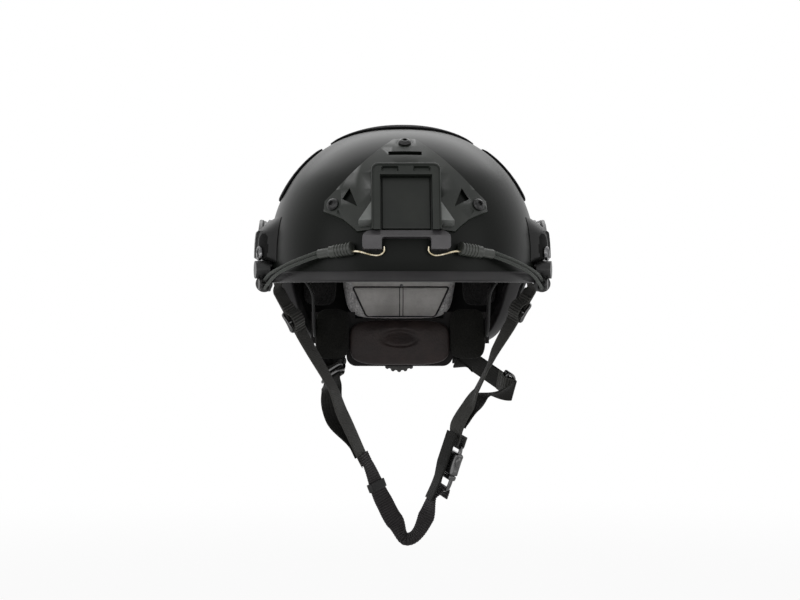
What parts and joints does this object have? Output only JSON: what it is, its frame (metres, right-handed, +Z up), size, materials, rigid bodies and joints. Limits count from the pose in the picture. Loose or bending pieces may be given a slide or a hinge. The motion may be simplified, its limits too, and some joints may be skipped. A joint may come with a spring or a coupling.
{
  "type": "ballistic helmet",
  "caption": "High-cut ballistic helmet with a front device shroud, side rails, bungee hooks, comfort pads, a dial-adjusted nape cradle and a webbing chin harness with a release buckle.",
  "frame": {"origin": "middle of the head opening, level with the front brim", "axes": "the helmet faces -Y, +X points to the right of a viewer in front of it, and +Z points up to the crown"},
  "size_m": [0.251, 0.2947, 0.3619],
  "materials": {
    "shell_coat": "satin coat over an aramid laminate",
    "rubber": "moulded, semi-matt",
    "shroud_polymer": "fine texture",
    "insert_polymer": "smooth",
    "black_screw": "black oxide",
    "steel": "blackened, worn edges",
    "bridge_polymer": "fine texture",
    "rail_polymer": "fine texture",
    "loop_fabric": "hook-and-loop pile",
    "pad_fabric": "short plush",
    "pad_leather": "soft grained sheet",
    "band_polymer": "smooth",
    "bracket_metal": "black coat",
    "webbing": "woven tape",
    "buckle_polymer": "moulded",
    "cradle_polymer": "moulded",
    "nape_fabric": "soft matt sheet",
    "dial_polymer": "moulded grip",
    "gear_metal": "plain",
    "bungee_cord": "braided cover",
    "ferrule_polymer": "moulded, ribbed",
    "hook_wire": "drawn wire"
  },
  "bodies": {
    "helmet": {"shell": "shell_coat", "edge_trim": "rubber", "shroud_plate": "shroud_polymer", "shroud_insert": "insert_polymer", "shroud_screws": "black_screw", "shroud_nuts": "steel", "bungee_bridge": "bridge_polymer", "rail_left": "rail_polymer", "rail_right": "rail_polymer", "rail_screws_left": "steel", "rail_screws_right": "steel", "rail_nuts": "steel", "bungee_anchor_left": "rail_polymer", "bungee_anchor_right": "rail_polymer", "loop_panel_left": "loop_fabric", "loop_panel_right": "loop_fabric", "loop_panel_crown": "loop_fabric", "crown_pad": "pad_fabric", "brow_pad": "pad_fabric", "rear_pad": "pad_leather", "side_pad_left": "pad_fabric", "side_pad_right": "pad_fabric", "corner_pad_left": "pad_fabric", "corner_pad_right": "pad_fabric", "pad_discs": "loop_fabric", "head_band_left": "band_polymer", "head_band_right": "band_polymer", "harness_bolts": "steel", "nape_bracket_left": "bracket_metal", "nape_bracket_right": "bracket_metal", "nape_bracket_screws": "steel", "front_strap_left": "webbing", "front_strap_right": "webbing", "rear_strap_left": "webbing", "rear_strap_right": "webbing", "chin_strap": "webbing", "strap_keeper": "buckle_polymer", "buckle_socket": "buckle_polymer"},
    "cradle": {"nape_cradle": "cradle_polymer", "cradle_cover": "cradle_polymer", "nape_pad": "nape_fabric", "wing_pad_left": "pad_fabric", "wing_pad_right": "pad_fabric", "dial_axle": "steel"},
    "dial": {"dial_knob": "dial_polymer", "dial_pinion": "gear_metal"},
    "rack_left": {"rack_left": "gear_metal"},
    "rack_right": {"rack_right": "gear_metal"},
    "plug": {"buckle_plug": "buckle_polymer"},
    "slider_front_left": {"slider_front_left": "buckle_polymer"},
    "slider_front_right": {"slider_front_right": "buckle_polymer"},
    "slider_rear_left": {"slider_rear_left": "buckle_polymer"},
    "slider_rear_right": {"slider_rear_right": "buckle_polymer"},
    "bungee_left": {"bungee_left": "bungee_cord", "ferrule_left": "ferrule_polymer", "hook_left": "hook_wire"},
    "bungee_right": {"bungee_right": "bungee_cord", "ferrule_right": "ferrule_polymer", "hook_right": "hook_wire"}
  },
  "joints": [
    {"name": "cradle_slide", "type": "slide", "parent": "helmet", "child": "cradle", "axis": [0, -1, 0], "range_m": [0, 0.02]},
    {"name": "dial_turn", "type": "hinge", "parent": "cradle", "child": "dial", "pos_m": [0, 0.1, -0.0585], "axis": [0, 1, 0], "range_deg": [0, 191]},
    {"name": "rack_left_slide", "type": "slide", "parent": "cradle", "child": "rack_left", "axis": [1, 0, 0], "range_m": [0, 0.02]},
    {"name": "rack_right_slide", "type": "slide", "parent": "cradle", "child": "rack_right", "axis": [-1, 0, 0], "range_m": [0, 0.02]},
    {"name": "buckle_release", "type": "slide", "parent": "helmet", "child": "plug", "axis": [-0.31, 0.04, -0.9499], "range_m": [0, 0.028], "deforming": ["chin_strap"]},
    {"name": "slider_front_left_slide", "type": "slide", "parent": "helmet", "child": "slider_front_left", "axis": [0.4707, 0.0401, -0.8814], "range_m": [-0.012, 0.004]},
    {"name": "slider_front_right_slide", "type": "slide", "parent": "helmet", "child": "slider_front_right", "axis": [-0.5, 0.04, -0.8651], "range_m": [-0.006, 0.007]},
    {"name": "slider_rear_left_slide", "type": "slide", "parent": "helmet", "child": "slider_rear_left", "axis": [-0.1221, -0.8957, -0.4275], "range_m": [-0.002, 0.006]},
    {"name": "slider_rear_right_slide", "type": "slide", "parent": "helmet", "child": "slider_rear_right", "axis": [0.5702, -0.7165, -0.4018], "range_m": [-0.02, 0.001]},
    {"name": "bungee_left_swing", "type": "hinge", "parent": "helmet", "child": "bungee_left", "pos_m": [-0.116, -0.05121, -0.0032], "axis": [0.8658, 0.4604, -0.1961], "range_deg": [0, 35], "stiffness_Nm_per_rad": 0.05, "springref_deg": -20.05},
    {"name": "bungee_right_swing", "type": "hinge", "parent": "helmet", "child": "bungee_right", "pos_m": [0.116, -0.05121, -0.0032], "axis": [0.8658, -0.4604, 0.1961], "range_deg": [0, 35], "stiffness_Nm_per_rad": 0.05, "springref_deg": -20.05}
  ],
  "couplings": [
    {"joint": "dial_turn", "follows": "cradle_slide", "rad_per_m": 166.67},
    {"joint": "rack_left_slide", "follows": "cradle_slide", "ratio": 1},
    {"joint": "rack_right_slide", "follows": "cradle_slide", "ratio": 1}
  ]
}
